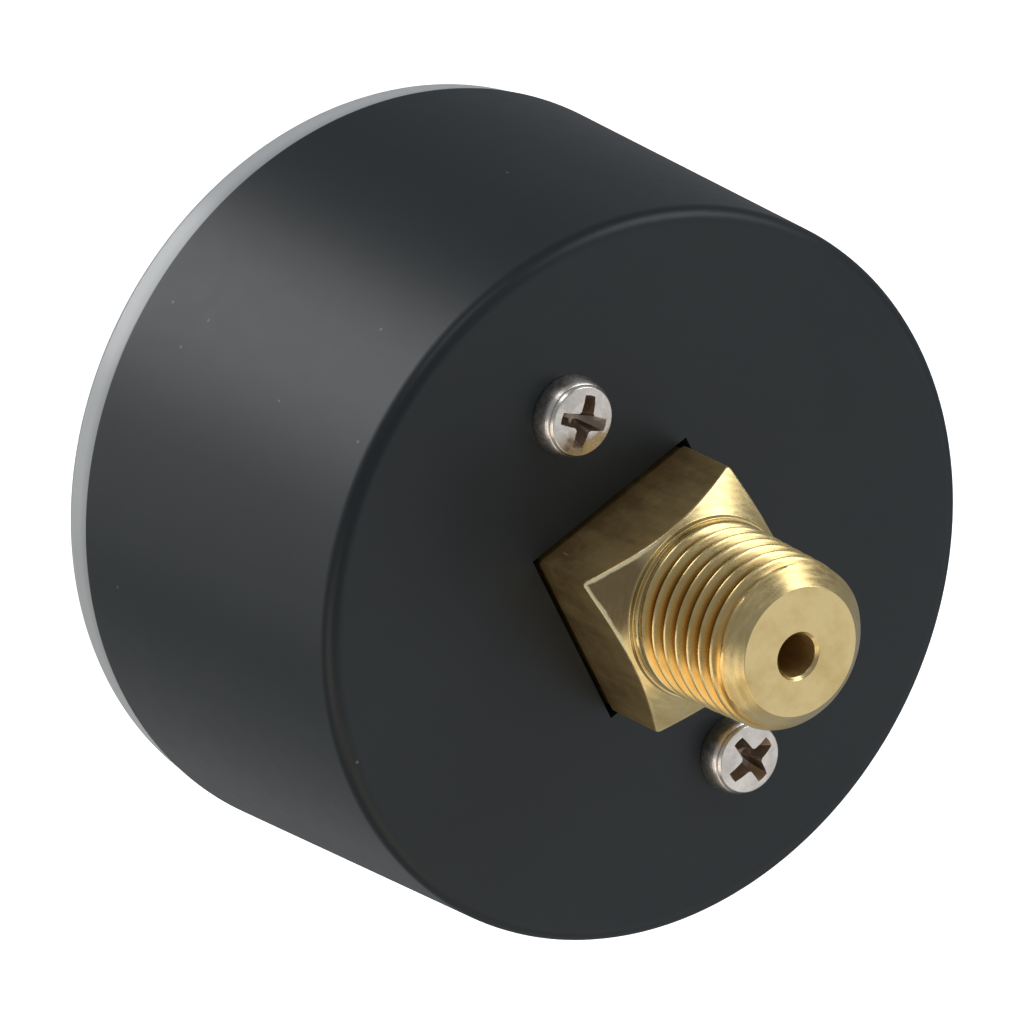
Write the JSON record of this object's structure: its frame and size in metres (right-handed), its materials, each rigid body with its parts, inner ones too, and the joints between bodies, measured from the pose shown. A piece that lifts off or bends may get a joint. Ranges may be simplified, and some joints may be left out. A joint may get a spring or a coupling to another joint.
{
  "type": "pressure gauge",
  "caption": "Round back-connected Bourdon-tube pressure gauge: black cup case, clear cover, brass stem with wrench square and taper pipe thread.",
  "frame": {"origin": "centre of the threaded stem's end face", "axes": "+Y along the stem's axis, out of the back of the gauge; the dial faces -Y; +Z is 12 o'clock on the dial; +X is to the right for someone who reads the dial"},
  "size_m": [0.059, 0.0545, 0.059],
  "materials": {
    "black_paint": "satin black enamel on drawn steel, faint orange peel, softly worn at the rear edge",
    "clear_plastic": "clear moulded plastic, pale grey where the edge is seen",
    "stem_brass": "machined brass, bright lathe marks on the end, dull golden brown on the flats",
    "movement_brass": "stamped and turned brass, fine brushed grain",
    "plated_screw": "bright nickel-plated steel",
    "tube_bronze": "drawn phosphor bronze",
    "steel": "turned steel",
    "dial_white": "matt white enamel on aluminium, black printed scale",
    "pointer_black": "matt black enamel on aluminium"
  },
  "bodies": {
    "gauge_body": {"case_shell": "black_paint", "lens": "clear_plastic", "dial_plate": "dial_white", "dial_screw_left": "steel", "dial_screw_right": "steel", "dial_post_left": "movement_brass", "dial_post_right": "movement_brass", "stop_pin": "steel", "socket": "stem_brass", "passage_plug": "movement_brass", "case_screw_top": "plated_screw", "case_screw_bottom": "plated_screw", "bourdon_tube": "tube_bronze", "hairspring": "tube_bronze", "hairspring_stud": "movement_brass", "movement_back_plate": "movement_brass", "movement_front_plate": "movement_brass", "pillar_left": "movement_brass", "pillar_upper": "movement_brass", "pillar_lower": "movement_brass", "movement_screw_upper": "steel", "movement_screw_lower": "steel", "plate_screw_left": "steel", "plate_screw_upper": "steel", "plate_screw_lower": "steel"},
    "pointer_assembly": {"pointer": "pointer_black", "pointer_hub": "movement_brass", "pinion_arbor": "steel", "hairspring_collet": "movement_brass"},
    "sector": {"sector_gear": "movement_brass", "sector_arbor": "steel", "tail_pin": "steel"},
    "bourdon_tip": {"tube_tip": "movement_brass", "tip_pin": "steel"},
    "link": {"link": "movement_brass"}
  },
  "joints": [
    {"name": "sector_turn", "type": "hinge", "parent": "gauge_body", "child": "sector", "pos_m": [0.00866, -0.034, -0.00866], "axis": [0, 1, 0], "range_deg": [-45, 0], "stiffness_Nm_per_rad": 0.012},
    {"name": "pointer_turn", "type": "hinge", "parent": "gauge_body", "child": "pointer_assembly", "pos_m": [0, -0.034, 0], "axis": [0, 1, 0], "range_deg": [0, 270], "deforming": ["hairspring"]},
    {"name": "tip_swing", "type": "hinge", "parent": "gauge_body", "child": "bourdon_tip", "pos_m": [-0.00874, -0.0345, 0.00398], "axis": [0, 1, 0], "range_deg": [-9.49, 0], "deforming": ["bourdon_tube"]},
    {"name": "link_pivot", "type": "hinge", "parent": "bourdon_tip", "child": "link", "pos_m": [0.0142, -0.0352, -0.0016], "axis": [0, 1, 0], "range_deg": [0, 12.15]}
  ],
  "couplings": [
    {"joint": "pointer_turn", "follows": "sector_turn", "ratio": -6},
    {"joint": "tip_swing", "follows": "sector_turn", "ratio": 0.211},
    {"joint": "link_pivot", "follows": "sector_turn", "ratio": -0.27}
  ]
}
